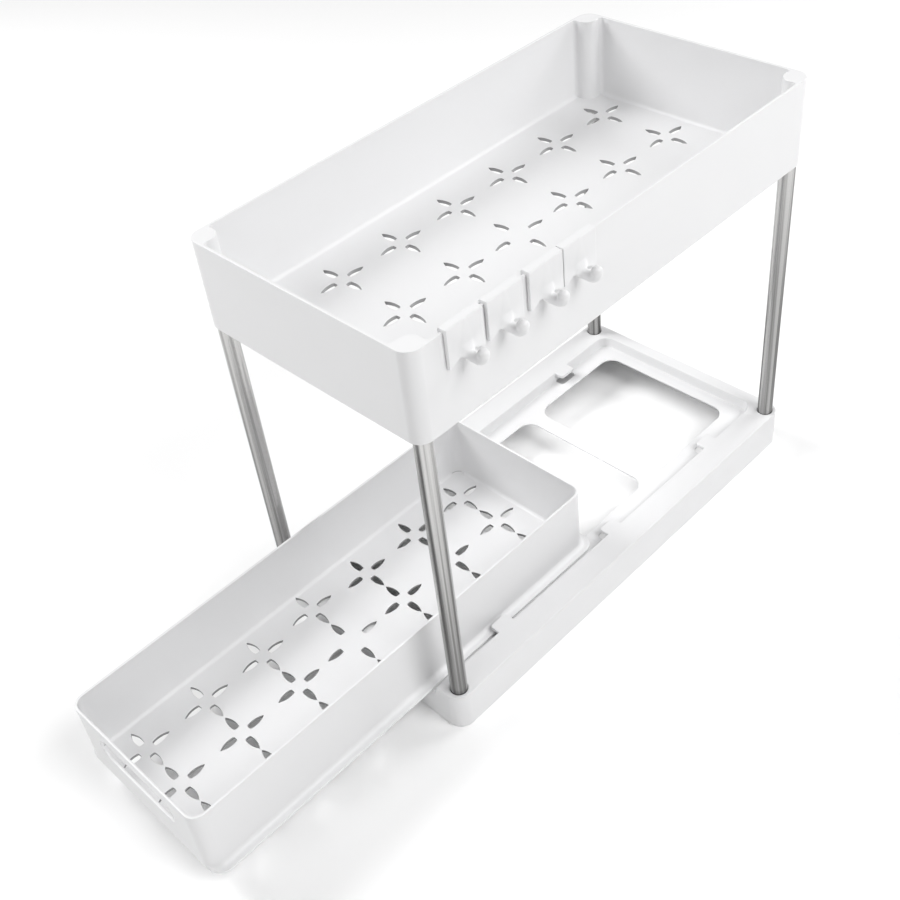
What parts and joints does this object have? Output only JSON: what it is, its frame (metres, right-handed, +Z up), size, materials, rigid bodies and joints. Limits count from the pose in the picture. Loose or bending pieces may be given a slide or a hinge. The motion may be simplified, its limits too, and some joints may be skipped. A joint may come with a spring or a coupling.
{
  "type": "under sink organizer",
  "caption": "Two-tier cabinet organizer: a perforated tray on steel posts over a base frame with a pull-out drawer, and clip-on hooks on the tray's rim.",
  "frame": {"origin": "the middle of the base frame's footprint, on the floor that it stands on", "axes": "+Z up; +Y towards the back, and the drawer pulls out towards -Y; +X towards the side that carries the hooks"},
  "size_m": [0.2247, 0.599, 0.3445],
  "materials": {
    "white_plastic": "satin moulded",
    "hook_plastic": "satin moulded",
    "steel_tube": "brushed along the tube"
  },
  "bodies": {
    "frame": {"base_frame": "white_plastic", "upper_tray": "white_plastic", "post_front_left": "steel_tube", "post_front_right": "steel_tube", "post_back_left": "steel_tube", "post_back_right": "steel_tube"},
    "drawer": {"drawer": "white_plastic"},
    "hook_1": {"hook_1": "hook_plastic"},
    "hook_2": {"hook_2": "hook_plastic"},
    "hook_3": {"hook_3": "hook_plastic"},
    "hook_4": {"hook_4": "hook_plastic"}
  },
  "joints": [
    {"name": "drawer_slide", "type": "slide", "parent": "frame", "child": "drawer", "axis": [0, -1, 0], "range_m": [-0.195, 0.04]},
    {"name": "hook_1_lift", "type": "slide", "parent": "frame", "child": "hook_1", "axis": [0, 0, 1], "range_m": [0, 0.03]},
    {"name": "hook_2_lift", "type": "slide", "parent": "frame", "child": "hook_2", "axis": [0, 0, 1], "range_m": [0, 0.03]},
    {"name": "hook_3_lift", "type": "slide", "parent": "frame", "child": "hook_3", "axis": [0, 0, 1], "range_m": [0, 0.03]},
    {"name": "hook_4_lift", "type": "slide", "parent": "frame", "child": "hook_4", "axis": [0, 0, 1], "range_m": [0, 0.03]}
  ]
}
